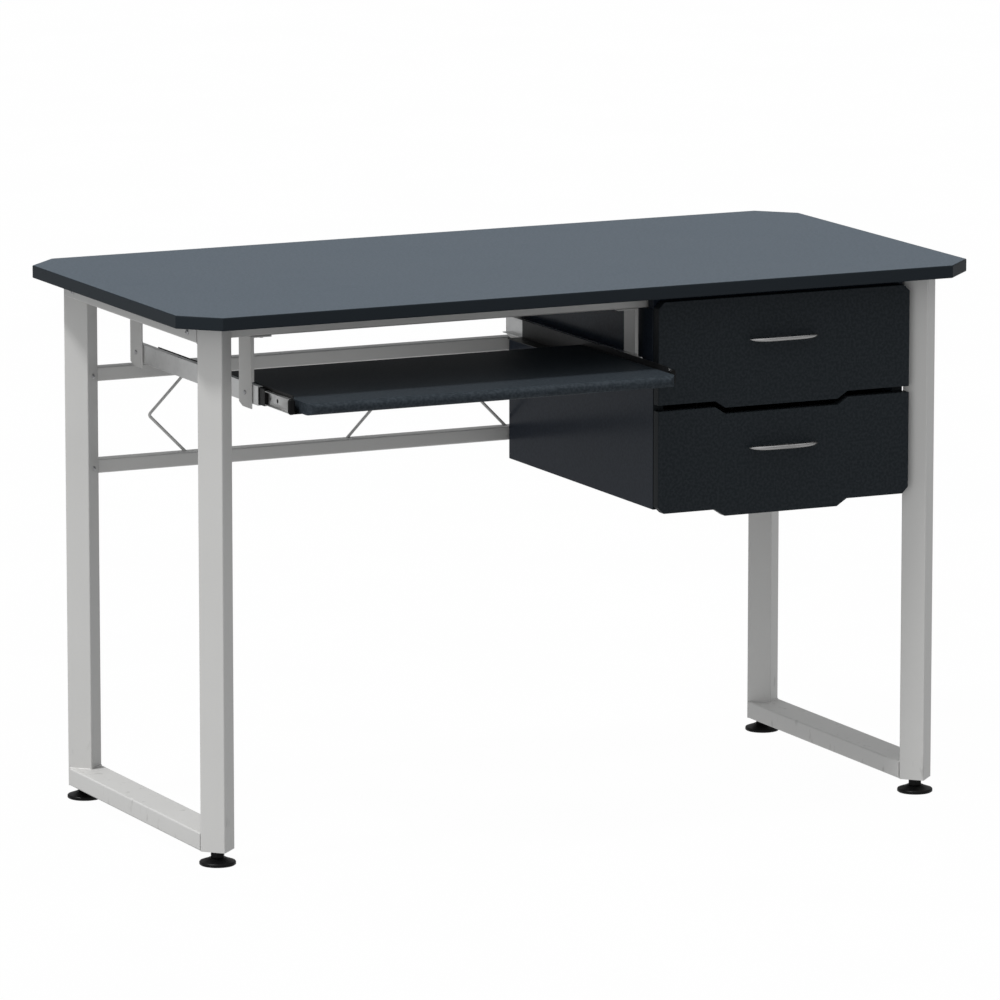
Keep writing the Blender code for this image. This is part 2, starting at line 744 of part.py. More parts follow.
# The board's front edge is a half round, so the outline is drawn from the side and pushed along X.
nose = TRAY_THICKNESS / 2
NOSE_STEPS = 8
tray_outline = [(tray_front + TRAY_DEPTH, TRAY_TOP)]
for step in range(NOSE_STEPS + 1):
    angle = math.radians(90 + 180 * step / NOSE_STEPS)
    along = tray_front + nose + nose * math.cos(angle)
    tray_outline.append((along, TRAY_BOTTOM + nose + nose * math.sin(angle)))
tray_outline.append((tray_front + TRAY_DEPTH, TRAY_BOTTOM))
board = prism("keyboard_tray", tray_outline, "X", tray_left, tray_right, LAMINATE)
for side, corner_x, inward in (("left", tray_left, 1), ("right", tray_right, -1)):
    arc_x = corner_x + inward * TRAY_CORNER
    arc_y = tray_front + TRAY_CORNER
    waste_outline = [(corner_x - inward * TRAY_CORNER, arc_y)]
    for step in range(NOSE_STEPS + 1):
        angle = math.radians(90 * step / NOSE_STEPS)
        across = arc_x - inward * TRAY_CORNER * math.cos(angle)
        waste_outline.append((across, arc_y - TRAY_CORNER * math.sin(angle)))
    waste_outline.append((arc_x, tray_front - TRAY_CORNER))
    waste_outline.append((corner_x - inward * TRAY_CORNER, tray_front - TRAY_CORNER))
    corner_waste = prism(
        "corner_waste_" + side, waste_outline, "Z", TRAY_BOTTOM - STEEL, TRAY_TOP + STEEL, cutter=True
    )
    cut(board, corner_waste)
tray_members.append(board)
group("tray_slide_line", ((tray_left + tray_right) / 2, at_desk(SLIDE_FRONT), SLIDE_MIDDLE), tray_members)

# ---------------------------------------------------------------- shading
bpy.context.view_layer.update()
for made in parts.objects:
    if made.type == "MESH" and made.name.startswith(("levelling_foot", "leg_", "keyboard_tray")):
        made.data.shade_smooth()
        made.data.set_sharp_from_angle(angle=math.radians(40))
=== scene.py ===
# %% [markdown]
# # A writing desk, dressed for its portrait
# The desk arrives as a frame of plain solids, one for each board, tube and fitting. This lesson
# gives every one of them the surface and the small details that a maker would recognise: eased
# edges, edge bands, weld beads, screws, rollers and brushed metal. The solids keep their sizes;
# only modifiers, finishes and small fittings are added.

import math

import bmesh
import bpy
from mathutils import Matrix, Vector


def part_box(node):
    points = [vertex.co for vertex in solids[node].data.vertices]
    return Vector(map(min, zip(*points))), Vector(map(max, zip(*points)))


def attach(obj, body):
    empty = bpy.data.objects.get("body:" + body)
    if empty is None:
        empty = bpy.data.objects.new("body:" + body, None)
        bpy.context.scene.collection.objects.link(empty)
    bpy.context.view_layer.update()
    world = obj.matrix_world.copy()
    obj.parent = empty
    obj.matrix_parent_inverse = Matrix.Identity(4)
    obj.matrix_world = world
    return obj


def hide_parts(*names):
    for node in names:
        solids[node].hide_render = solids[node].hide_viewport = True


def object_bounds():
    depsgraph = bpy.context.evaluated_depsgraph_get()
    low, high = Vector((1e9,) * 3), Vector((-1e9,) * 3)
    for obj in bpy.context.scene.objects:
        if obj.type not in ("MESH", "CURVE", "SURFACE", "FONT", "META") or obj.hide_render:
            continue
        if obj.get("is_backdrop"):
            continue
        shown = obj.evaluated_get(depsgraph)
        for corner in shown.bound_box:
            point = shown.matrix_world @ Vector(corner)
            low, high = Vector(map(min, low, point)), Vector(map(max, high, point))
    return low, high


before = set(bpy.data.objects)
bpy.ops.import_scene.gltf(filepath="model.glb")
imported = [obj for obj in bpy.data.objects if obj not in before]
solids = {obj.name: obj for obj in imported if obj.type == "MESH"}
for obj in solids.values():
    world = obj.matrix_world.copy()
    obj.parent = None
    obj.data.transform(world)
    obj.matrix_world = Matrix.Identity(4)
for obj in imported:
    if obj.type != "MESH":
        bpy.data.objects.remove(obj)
cad_low, cad_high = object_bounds()
print("solids:", len(solids), "overall:", [round(side, 4) for side in cad_high - cad_low])

# %% [markdown]
# ## Arithmetic on shader sockets
# A procedural finish is mostly arithmetic: a mask times a colour shift, one minus a noise. Typing
# that as node calls hides the idea, so a small class wraps a socket and lets Python's own
# operators add the Math nodes. Everything else, such as a noise or a bump, comes from one method
# that first applies a node's settings and then fills or links its inputs.

# %% Sockets that can be added and multiplied
class Wire:
    """A value that leaves one shader node. Arithmetic on it adds Math nodes."""

    def __init__(self, graph, socket):
        self.graph = graph
        self.socket = socket

    def sum_of(self, operation, first, second):
        return self.graph.node("ShaderNodeMath", {"operation": operation}, {0: first, 1: second})

    def __add__(self, other):
        return self.sum_of("ADD", self, other)

    def __sub__(self, other):
        return self.sum_of("SUBTRACT", self, other)

    def __rsub__(self, other):
        return self.sum_of("SUBTRACT", other, self)

    def __mul__(self, other):
        return self.sum_of("MULTIPLY", self, other)

    __radd__ = __add__
    __rmul__ = __mul__


class Graph:
    """The nodes of one shader tree."""

    def __init__(self, tree, shader):
        self.tree = tree
        self.shader = tree.nodes[shader]

    def feed(self, socket, value):
        if isinstance(value, Wire):
            self.tree.links.new(value.socket, socket)
        else:
            socket.default_value = value

    def node(self, kind, settings=None, inputs=None, output=0):
        made = self.tree.nodes.new(kind)
        for setting, value in (settings or {}).items():
            setattr(made, setting, value)
        for socket, value in (inputs or {}).items():
            self.feed(made.inputs[socket], value)
        return Wire(self, made.outputs[output])

    def drive(self, **inputs):
        for socket, value in inputs.items():
            self.feed(self.shader.inputs[socket.replace("_", " ")], value)


class Finish(Graph):
    """A named material: a Principled shader with its fixed values and the nodes that vary."""

    def __init__(self, name, **fixed):
        self.material = bpy.data.materials.new(name)
        self.material.use_nodes = True
        super().__init__(self.material.node_tree, "Principled BSDF")
        self.drive(**fixed)


# %% [markdown]
# ## Patterns that every finish borrows
# The desk's solids all share one frame, so the Object coordinate is simply the place on the desk
# in metres. A noise of scale 1000 then has grains of about a millimetre on every piece, large or
# small. Stretching the coordinate before the noise turns grains into brushed lines.

# %% Noise, masks, tints and bumps
def grain(finish, scale, detail=2.0, stretch=(1, 1, 1), offset=(0, 0, 0)):
    """A noise from 0 to 1 with grains of about 1/scale metres. A small stretch draws them out."""
    place = finish.node("ShaderNodeTexCoord", output=3)
    drawn = finish.node("ShaderNodeMapping", {}, {"Vector": place, "Scale": stretch, "Location": offset})
    return finish.node("ShaderNodeTexNoise", {}, {"Vector": drawn, "Scale": scale, "Detail": detail})


def cells(finish, scale, stretch=(1, 1, 1)):
    """The distance to the nearest of many scattered points: small rounded cells."""
    place = finish.node("ShaderNodeTexCoord", output=3)
    drawn = finish.node("ShaderNodeMapping", {}, {"Vector": place, "Scale": stretch})
    return finish.node("ShaderNodeTexVoronoi", {"feature": "SMOOTH_F1"}, {"Vector": drawn, "Scale": scale})


def between(value, low, high, start=0.0, end=1.0):
    """A mask: start where value is under low, end where it is over high, and smooth in between."""
    return value.graph.node(
        "ShaderNodeMapRange",
        {"interpolation_type": "SMOOTHSTEP"},
        {"Value": value, "From Min": low, "From Max": high, "To Min": start, "To Max": end},
    )


def tint(mask, first, second):
    """A colour that goes from first to second as the mask goes from 0 to 1."""
    return mask.graph.node(
        "ShaderNodeMix", {"data_type": "RGBA"}, {0: mask, 6: colour(first), 7: colour(second)}, output=2
    )


def colour(value):
    return value if isinstance(value, Wire) else (*value, 1.0)


def relief(height, depth, strength=1.0):
    """A bump that lifts the surface by the height pattern times a depth in metres."""
    inputs = {"Height": height, "Distance": depth, "Strength": strength}
    return height.graph.node("ShaderNodeBump", {}, inputs)


def place_along(finish, axis):
    """The place along one axis of the desk, in metres."""
    place = finish.node("ShaderNodeTexCoord", output=3)
    return finish.node("ShaderNodeSeparateXYZ", {}, {"Vector": place}, output="XYZ".index(axis))


# %% [markdown]
# ## Slate laminate
# The top and the keyboard tray are particle board under a thin melamine skin. The press plate
# leaves a fine stipple in the skin, which breaks up reflections, and the printed paper beneath
# carries a mottle of slightly warmer and cooler greys. An image could carry both, but noise has
# no seams and no limit of size. The stipple is a cell pattern under half a millimetre, fed to a
# bump; a few faint rub marks change only the roughness, as real ones do.

# %% Slate laminate
def stippled_laminate(name, deep, light, roughness, stipple, specular):
    finish = Finish(name, Specular_IOR_Level=specular)
    mottle = grain(finish, 260, detail=6.0)
    fleck = between(grain(finish, 1500, detail=1.0, offset=(3, 1, 2)), 0.60, 0.74)
    cloud = grain(finish, 5, detail=3.0)
    body = tint(between(mottle, 0.39, 0.62), deep, light)
    warmer = tuple(1.35 * part for part in light)
    body = tint(fleck * 0.55, body, warmer)
    rub = between(grain(finish, 11, detail=5.0, offset=(7, 2, 0)), 0.60, 0.78)
    finish.drive(
        Base_Color=body,
        Roughness=roughness + cloud * 0.06 - 0.03 + rub * 0.02 + mottle * 0.04 - 0.02,
        Normal=relief(cells(finish, 900) + grain(finish, 420, detail=3.0) * 0.8, stipple),
    )
    return finish


SLATE = stippled_laminate("slate laminate", (0.024, 0.041, 0.059), (0.044, 0.064, 0.086), 0.42, 0.00006, 0.5)
# The tray is the same slate laminate as the top. This copy is painted darker and greyer: painted shade for
# the shade that the top casts on the tray.
SHADE_PAINTED_TRAY_SLATE = stippled_laminate(
    "tray laminate with painted shade", (0.019, 0.024, 0.029), (0.031, 0.038, 0.045), 0.50, 0.00005, 0.05
)
DRAWER_SLATE = stippled_laminate(
    "drawer front laminate", (0.0085, 0.0121, 0.0148), (0.0155, 0.0192, 0.0230), 0.50, 0.00006, 0.12
)
print("laminates:", SLATE.material.name, SHADE_PAINTED_TRAY_SLATE.material.name, DRAWER_SLATE.material.name)

# %% [markdown]
# ## Edge band
# The cut edges of a board show raw chips, so they are covered with a strip of the same colour,
# ironed on and trimmed. The strip is smoother than the face and a shade darker, with fine lines
# along its length from the trimmer. It needs a finish of its own, given only to the faces that
# look sideways.

# %% Edge band
def edge_band(name, deep, light, roughness):
    finish = Finish(name, Specular_IOR_Level=0.06)
    lines = grain(finish, 2200, detail=2.0, stretch=(0.02, 0.02, 1.0))
    wear = between(grain(finish, 60, detail=6.0), 0.62, 0.78)
    finish.drive(
        Base_Color=tint(lines, deep, light),
        Roughness=roughness + wear * 0.12 + lines * 0.05,
        Normal=relief(lines, 0.00002),
    )
    return finish


TOP_BAND = edge_band("top edge band", (0.0112, 0.0148, 0.0186), (0.0160, 0.0204, 0.0246), 0.45)
BOARD_BAND = edge_band("board edge band", (0.010, 0.012, 0.014), (0.015, 0.018, 0.021), 0.42)

# %% [markdown]
# ## Satin board
# The cabinet's own panels have a smoother, semi-gloss melamine that mirrors the frame beside it.
# The reflection is never perfect: the board beneath is slightly wavy, so a slow, shallow bump
# bends it, and a thin film of handling dulls it in clouds.

# %% Cabinet panels, drawer boxes and hardboard
CABINET = Finish("cabinet board", Specular_IOR_Level=0.055)
cabinet_mottle = grain(CABINET, 320, detail=6.0)
cabinet_cloud = grain(CABINET, 8, detail=4.0)
CABINET.drive(
    Base_Color=tint(between(cabinet_mottle, 0.3, 0.7), (0.0120, 0.0165, 0.0250), (0.0165, 0.0218, 0.0315)),
    Roughness=0.17 + between(cabinet_cloud, 0.4, 0.7) * 0.04 + cabinet_mottle * 0.03,
    Normal=relief(grain(CABINET, 30, detail=2.0) + cells(CABINET, 900) * 0.12, 0.00004),
)

BOX_BOARD = Finish("drawer box board", Specular_IOR_Level=0.25)
foil_lines = grain(BOX_BOARD, 180, detail=4.0, stretch=(1.0, 0.05, 1.0))
BOX_BOARD.drive(
    Base_Color=tint(between(foil_lines, 0.3, 0.7), (0.049, 0.052, 0.057), (0.061, 0.064, 0.069)),
    Roughness=0.56 + foil_lines * 0.06,
    Normal=relief(foil_lines + grain(BOX_BOARD, 900) * 0.4, 0.00004),
)

HARDBOARD = Finish("hardboard", Specular_IOR_Level=0.3)
fibres = grain(HARDBOARD, 340, detail=8.0, stretch=(0.5, 1.0, 0.8))
weave = cells(HARDBOARD, 520)
HARDBOARD.drive(
    Base_Color=tint(between(fibres, 0.35, 0.68), (0.062, 0.055, 0.048), (0.084, 0.075, 0.065)),
    Roughness=0.66 + fibres * 0.16,
    Normal=relief(fibres + weave * 0.5, 0.00012),
)

# %% [markdown]
# ## Silver powder coat
# Powder coat is sprayed dry and baked, and it sets with a slight orange peel: smooth bumps two or
# three millimetres across. A little mica in it gives the silver its glint, so the finish is
# partly metallic. Near the floor shoes and mops leave darker scuffs, which a height mask keeps
# below ankle level.

# %% Silver powder coat
POWDER = Finish("silver powder coat", Specular_IOR_Level=0.5)
peel = grain(POWDER, 420, detail=2.0)
mica = between(grain(POWDER, 2600, detail=1.0), 0.62, 0.76)
haze = grain(POWDER, 9, detail=4.0)
ankle = between(place_along(POWDER, "Z"), 0.03, 0.14, 1.0, 0.0)
scuff = between(grain(POWDER, 70, detail=7.0, stretch=(1.0, 1.0, 0.35)), 0.60, 0.72) * ankle
coat_colour = tint(haze, (0.475, 0.470, 0.458), (0.515, 0.511, 0.500))
coat_colour = tint(mica * 0.35, coat_colour, (0.66, 0.66, 0.65))
POWDER.drive(
    Base_Color=tint(scuff * 0.35, coat_colour, (0.22, 0.215, 0.205)),
    Metallic=0.12 + mica * 0.25,
    Roughness=0.46 + haze * 0.08 + scuff * 0.18,
    Normal=relief(peel, 0.00007),
)

# %% [markdown]
# ## Plated and painted small parts
# The slides and runners are rolled from zinc-plated strip: bright, with drawn lines along their
# length and a cloudy spangle. The handles are plated zinc castings with a satin nickel skin,
# brushed along the bow. Screws are zinc too, but tumbled, so their lines have no direction.

# %% Zinc, nickel and screw steel
def drawn_metal(name, dark, bright, roughness, stretch, depth):
    finish = Finish(name)
    lines = grain(finish, 1400, detail=3.0, stretch=stretch)
    spangle = grain(finish, 130, detail=3.0)
    stain = between(grain(finish, 22, detail=6.0), 0.58, 0.74)
    finish.drive(
        Base_Color=tint(stain * 0.3, tint(spangle, dark, bright), tuple(0.62 * part for part in dark)),
        Metallic=1.0 - stain * 0.10,
        Roughness=roughness + lines * 0.12 + stain * 0.14,
        Normal=relief(lines, depth),
    )
    return finish


ZINC = drawn_metal(
    "drawn zinc plate", (0.60, 0.60, 0.595), (0.68, 0.68, 0.675), 0.34, (1.0, 0.02, 1.0), 0.00002
)
NICKEL = drawn_metal(
    "satin nickel", (0.36, 0.355, 0.35), (0.42, 0.415, 0.41), 0.20, (0.02, 1.0, 1.0), 0.00002
)
SCREW = drawn_metal("screw steel", (0.34, 0.34, 0.35), (0.46, 0.46, 0.47), 0.34, (1.0, 1.0, 1.0), 0.00003)

# %% [markdown]
# ## Black plastic, black steel and nylon
# The feet and end caps are moulded with a fine leather-like spark texture. The tray's side
# brackets are folded steel with thin black paint that shows the metal at a few rubbed spots. The
# runners' wheels are milky nylon, which lets a little light in; that is a fixed subsurface weight
# on the shader.

# %% Black plastic, black steel and nylon
PLASTIC = Finish("black plastic", Specular_IOR_Level=0.14)
spark = cells(PLASTIC, 1300)
dust = between(grain(PLASTIC, 45, detail=6.0), 0.55, 0.72)
PLASTIC.drive(
    Base_Color=tint(dust * 0.5, (0.0020, 0.0020, 0.0022), (0.0060, 0.0058, 0.0055)),
    Roughness=0.34 + spark * 0.10 + dust * 0.18,
    Normal=relief(spark, 0.00008),
)

BLACK_STEEL = Finish("black painted steel", Specular_IOR_Level=0.2)
rubbed = between(grain(BLACK_STEEL, 55, detail=8.0, stretch=(1.0, 0.4, 1.0)), 0.66, 0.74)
BLACK_STEEL.drive(
    Base_Color=tint(rubbed, (0.0050, 0.0052, 0.0056), (0.10, 0.10, 0.105)),
    Metallic=rubbed * 0.9,
    Roughness=0.38 + grain(BLACK_STEEL, 300) * 0.10,
    Normal=relief(grain(BLACK_STEEL, 500), 0.00005),
)

NYLON = Finish("milky nylon", Specular_IOR_Level=0.45, Subsurface_Weight=0.15)
NYLON.drive(
    Base_Color=tint(grain(NYLON, 90, detail=4.0), (0.60, 0.59, 0.56), (0.72, 0.71, 0.68)),
    Roughness=0.38 + grain(NYLON, 400) * 0.12,
    Normal=relief(grain(NYLON, 700), 0.00004),
)

# %% [markdown]
# ## Easing the edges of the boards and tubes
# No real edge is perfectly sharp, and an eased edge catches a thin line of light. The solids
# arrive as separate triangles, so four modifiers work in turn: Weld joins the corners, Decimate
# in its planar mode melts the triangles back into whole faces, Bevel rounds every sharp edge, and
# Weighted Normal keeps the large faces looking flat. Modifiers leave the solids themselves as
# they were.

# %% Easing
def ease(piece, width, segments=2):
    for polygon in piece.data.polygons:
        polygon.use_smooth = True
    weld = piece.modifiers.new("join corners", "WELD")
    weld.merge_threshold = 0.00001
    melt = piece.modifiers.new("whole faces", "DECIMATE")
    melt.decimate_type = "DISSOLVE"
    melt.angle_limit = math.radians(1)
    rounding = piece.modifiers.new("eased edges", "BEVEL")
    rounding.width = width
    rounding.segments = segments
    rounding.limit_method = "ANGLE"
    rounding.angle_limit = math.radians(35)
    level = piece.modifiers.new("flat faces", "WEIGHTED_NORMAL")
    level.weight = 80
    return piece


def dress(names, finish, width, segments=2):
    """Gives solids their finish and eased edges."""
    for name in names:
        piece = solids[name]
        piece.data.materials.clear()
        piece.data.materials.append(finish.material)
        ease(piece, width, segments)


def band(names, finish, flat_axis, flat=0.5):
    """Puts an edge band on the faces that look away from a board's thin axis."""
    for name in names:
        piece = solids[name]
        piece.data.materials.append(finish.material)
        for polygon in piece.data.polygons:
            polygon.material_index = int(abs(polygon.normal["XYZ".index(flat_axis)]) < flat)


sides = ("left", "right")
ends = ("front", "rear")
levels = ("upper", "lower")
legs = [f"leg_{end}_{side}" for end in ends for side in sides]
rails = [f"{place}_rail_{side}" for place in ("top", "foot") for side in sides]
rails += ["front_rail", "rear_rail"]
stretchers = [f"rear_stretcher_{level}" for level in levels]
rods = [f"brace_rod_{place}_{side}" for place in ("outer", "inner") for side in sides]
hangers = [f"tray_hanger_{end}_{side}" for end in ends for side in sides]

# %% [markdown]
# ## Top, tray and cabinet
# Each board gets its laminate on the two broad faces and an edge band on the rest. The broad
# faces are found from the direction that each face looks in: along Z for the top, along X for the
# cabinet's sides, along Y for the drawer fronts. The tray's rounded nose is one post-formed
# sheet, so it has no band at the front.

# %% Boards
dress(["tabletop"], SLATE, 0.0008)
band(["tabletop"], TOP_BAND, "Z", 0.9)
# The tray takes the copy of the slate laminate that has painted shade in its colour.
dress(["keyboard_tray"], SHADE_PAINTED_TRAY_SLATE, 0.0006)
dress([f"{level}_drawer_front" for level in levels], DRAWER_SLATE, 0.0009)
band([f"{level}_drawer_front" for level in levels], BOARD_BAND, "Y")
dress([f"cabinet_side_{side}" for side in sides], CABINET, 0.0006)
band([f"cabinet_side_{side}" for side in sides], BOARD_BAND, "X")
dress(["cabinet_top", "cabinet_bottom", "cabinet_top_strip"], CABINET, 0.0006)
band(["cabinet_top", "cabinet_bottom"], BOARD_BAND, "Z")
dress(["cabinet_back"], HARDBOARD, 0.0004)
for level in levels:
    dress([f"{level}_drawer_bottom"], HARDBOARD, 0.0003)
    box_boards = [f"{level}_drawer_{place}" for place in ("side_left", "side_right", "back")]
    dress(box_boards, BOX_BOARD, 0.0008)

# %% [markdown]
# ## Frame
# The tubes keep the rounded corners that they were rolled with, and only their cut ends are
# eased. The brace rods are round wire and need only the faintest easing where they are cut.

# %% Frame
dress(legs + rails + stretchers, POWDER, 0.0004)
dress(rods, POWDER, 0.0002, segments=1)
dress(hangers, POWDER, 0.0005)
for side in sides:
    dress([f"tray_angle_{side}"], BLACK_STEEL, 0.0003)
    dress([f"tray_slide_fixed_{side}", f"tray_slide_moving_{side}"], ZINC, 0.0004)
    dress([f"tray_end_cap_{side}"], PLASTIC, 0.0022, segments=4)
    for level in levels:
        dress([f"{level}_drawer_runner_{side}", f"{level}_drawer_slider_{side}"], ZINC, 0.0004)
print("dressed:", sum(bool(piece.modifiers) for piece in solids.values()), "of", len(solids))

# %% [markdown]
# ## Building small fittings
# Small fittings are drawn with bmesh straight into desk coordinates, so that the same noise
# scales fit them. A turned piece starts as a list of (radius, height) pairs swept round an axis;
# a pushed piece starts as a flat outline. Fittings that belong together, such as four like
# screws, share one mesh.

# %% Helpers for fittings
def fitting(name, shape, finish, body, smooth=40):
    """Turns a bmesh into a finished piece that moves with one body of the desk."""
    bmesh.ops.recalc_face_normals(shape, faces=shape.faces)
    mesh = bpy.data.meshes.new(name)
    shape.to_mesh(mesh)
    shape.free()
    piece = bpy.data.objects.new(name.replace(" ", "_"), mesh)
    bpy.context.scene.collection.objects.link(piece)
    mesh.materials.append(finish.material)
    mesh.shade_smooth()
    mesh.set_sharp_from_angle(angle=math.radians(smooth))
    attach(piece, body)
    return piece


def turned(shape, profile, place, axis, segments=24):
    """Sweeps (radius, height) pairs round an axis through a place, and adds the result to the shape."""
    stand = Vector((0, 0, 1)).rotation_difference(Vector(axis)).to_matrix().to_4x4()
    stand.translation = Vector(place)
    rings = []
    for radius, height in profile:
        if radius == 0:
            rings.append([shape.verts.new(stand @ Vector((0, 0, height)))])
            continue
        ring = []
        for step in range(segments):
            angle = 2 * math.pi * step / segments
            spot = Vector((radius * math.cos(angle), radius * math.sin(angle), height))
            ring.append(shape.verts.new(stand @ spot))
        rings.append(ring)
    for low, high in zip(rings, rings[1:]):
        for step in range(segments):
            after = (step + 1) % segments
            corners = [low[step % len(low)], low[after % len(low)]]
            corners += [high[after % len(high)], high[step % len(high)]]
            corners = list(dict.fromkeys(corners))
            if len(corners) > 2:
                shape.faces.new(corners)
    return shape


def pushed(shape, outline, start, travel):
    """Adds a solid: a flat outline of 3-D points, moved to start and pushed along travel."""
    near = [shape.verts.new(Vector(start) + Vector(point)) for point in outline]
    far = [shape.verts.new(vert.co + Vector(travel)) for vert in near]
    shape.faces.new(near)
    shape.faces.new(list(reversed(far)))
    for step, vert in enumerate(near):
        after = (step + 1) % len(near)
        shape.faces.new([vert, far[step], far[after], near[after]])
    return shape


def hexagon(radius, axis):
    """Six points of a hexagon about the origin, flat across an axis."""
    stand = Vector((0, 0, 1)).rotation_difference(Vector(axis))
    turn = [math.radians(60 * step) for step in range(6)]
    return [stand @ Vector((radius * math.cos(angle), radius * math.sin(angle), 0)) for angle in turn]


def carve(piece, shape, body):
    """Cuts a shape out of a piece with a Boolean. The cutter isn't shown, and moves with the same body."""
    bmesh.ops.recalc_face_normals(shape, faces=shape.faces)
    mesh = bpy.data.meshes.new(piece.name + " cutter")
    shape.to_mesh(mesh)
    shape.free()
    cutter = bpy.data.objects.new(mesh.name, mesh)
    bpy.context.scene.collection.objects.link(cutter)
    cutter.hide_render = True
    cutter.display_type = "WIRE"
    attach(cutter, body)
    step = piece.modifiers.new("carved", "BOOLEAN")
    step.operation = "DIFFERENCE"
    step.solver = "EXACT"
    step.object = cutter
    return cutter


# %% [markdown]
# ## Levelling feet
# Each leg ends in a moulded disc on a threaded stem. The disc has a thin rim that grips the
# floor, a shallow dome above it, and a hexagonal neck for the spanner. The dome is a turned
# profile; the hexagon is pushed upwards and its corners are chamfered at the top by a narrower
# ring, the way a real nut is.

# %% Levelling feet
def levelling_foot(name):
    low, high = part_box(name)
    middle = Vector(((low.x + high.x) / 2, (low.y + high.y) / 2, 0))
    radius = (high.x - low.x) / 2
    shape = bmesh.new()
    disc = [(0, 0), (radius - 0.0015, 0), (radius, 0.0012), (radius, 0.0040), (radius - 0.0008, 0.0052)]
    disc += [(radius - 0.0030, 0.0060), (0.0170, 0.0078), (0.0135, 0.0090), (0.0118, 0.0100), (0, 0.0100)]
    turned(shape, disc, middle, (0, 0, 1), segments=56)
    for level, wide, top in ((0.0098, 0.0100, 0.0186), (0.0186, 0.0092, 0.0196)):
        pushed(shape, hexagon(wide, (0, 0, 1)), middle + Vector((0, 0, level)), (0, 0, top - level))
    turned(shape, [(0, 0.0196), (0.0040, 0.0196), (0.0040, 0.034), (0, 0.034)], middle, (0, 0, 1))
    moulded = name.replace("levelling_foot", "moulded foot")
    piece = fitting(moulded, shape, PLASTIC, name, smooth=30)
    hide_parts(name)
    return piece


feet = [levelling_foot(f"levelling_foot_{end}_{side}") for end in ends for side in sides]
print("feet:", [piece.name for piece in feet])

# %% [markdown]
# ## Bow handles
# The handle is a slim cast bow: it leaves the drawer front at a shallow angle, stands off it in
# the middle and comes back, thinning to a rounded tip at both ends. A section swept along that
# arch makes it in one piece. The section is nearly round, so its crown mirrors the dark drawer
# front behind it and its face mirrors the bright room.

# %% Bow handles
def bow_handle(level, steps=48, around=20):
    name = f"{level}_drawer_handle"
    low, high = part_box(name)
    middle = (low + high) / 2
    half = (high.x - low.x) / 2 - 0.0005
    tall_half = (high.z - low.z) / 2 - 0.0004
    thick_half = 0.0041
    reach = high.y - low.y - 2 * thick_half - 0.0006
    path = []
    alongs = [-1 + 2 * step / steps for step in range(steps + 1)]
    for along in alongs:
        arch = math.cos(math.pi / 2 * abs(along) ** 2.4)
        path.append(Vector((middle.x + half * along, high.y - thick_half - 0.0002 - reach * arch, middle.z)))
    shape = bmesh.new()
    loops = []
    for step, (along, centre) in enumerate(zip(alongs, path)):
        ahead = (path[min(step + 1, steps)] - path[max(step - 1, 0)]).normalized()
        across = Vector((-ahead.y, ahead.x, 0))
        taper = max(0.12, math.sqrt(1 - abs(along) ** 6))
        loop = []
        for turn in range(around):
            angle = 2 * math.pi * turn / around
            spot = centre + across * thick_half * taper * math.cos(angle)
            spot.z += tall_half * taper * math.sin(angle)
            spot.y = min(spot.y, high.y)
            loop.append(shape.verts.new(spot))
        loops.append(loop)
    for near, far in zip(loops, loops[1:]):
        for turn in range(around):
            after = (turn + 1) % around
            shape.faces.new([near[turn], near[after], far[after], far[turn]])
    shape.faces.new(loops[0])
    shape.faces.new(list(reversed(loops[-1])))
    piece = fitting(f"{level} bow handle", shape, NICKEL, f"{level}_drawer", smooth=60)
    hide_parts(name)
    return piece


handles = [bow_handle(level) for level in levels]
print("handles:", [piece.name for piece in handles])

# %% [markdown]
# ## Screws and bolts
# Every joint that comes apart shows a screw: button heads with a hexagonal socket where the frame
# bolts together, and pan heads with a cross recess where sheet metal meets wood. The heads are
# turned domes, and the drive is carved out with a Boolean, so it has real depth and catches its
# own shadow.

# %% Screws and bolts
HEAD_SINK = 0.0003


def screws(name, places, axis, radius, body, drive="cross"):
    """One mesh of like screw heads that stand on a surface at the given places and look along an axis."""
    shape = bmesh.new()
    tool = bmesh.new()
    facing = Vector(axis).normalized()
    height = radius * 0.55
    dome = [(0, -HEAD_SINK), (radius, -HEAD_SINK), (radius, height * 0.25), (radius * 0.93, height * 0.62)]
    dome += [(radius * 0.72, height * 0.90), (radius * 0.40, height), (0, height)]
    for place in places:
        spot = Vector(place)
        turned(shape, dome, spot, facing, segments=28)
        floor = spot + facing * height * 0.35
        if drive == "socket":
            pushed(tool, hexagon(radius * 0.45, facing), floor, facing * height)
            continue
        across = facing.orthogonal().normalized()
        for arm, span in ((across, facing.cross(across)), (facing.cross(across), across)):
            long, slim = arm * radius * 0.55, span * radius * 0.11
            outline = [-long - slim, long - slim, long + slim, -long + slim]
            shift = facing * height * (0.0 if arm is across else 0.02)
            pushed(tool, outline, floor + shift, facing * height)
    piece = fitting(name, shape, SCREW, body, smooth=35)
    carve(piece, tool, body)
    return piece


rail_outer = {side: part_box(f"top_rail_{side}")[0 if side == "left" else 1].x for side in sides}
rail_z = (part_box("top_rail_left")[0].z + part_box("top_rail_left")[1].z) / 2
outward = {"left": -1, "right": 1}
for side in sides:
    bolts = [(rail_outer[side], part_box(rail)[inner].y + step, rail_z - 0.0015)
             for rail, inner, step in (("front_rail", 0, 0.008), ("rear_rail", 1, -0.008))]
    screws(f"{side} cross rail bolts", bolts, (outward[side], 0, 0), 0.0040, "desk", "socket")

# %% [markdown]
# The rear stretchers are bolted through the rear legs. The bolt enters the leg's inner front
# face, which looks diagonally across the desk, level with the middle of each stretcher.

# %% Stretcher bolts
LEG_HALF_SIDE = 0.018

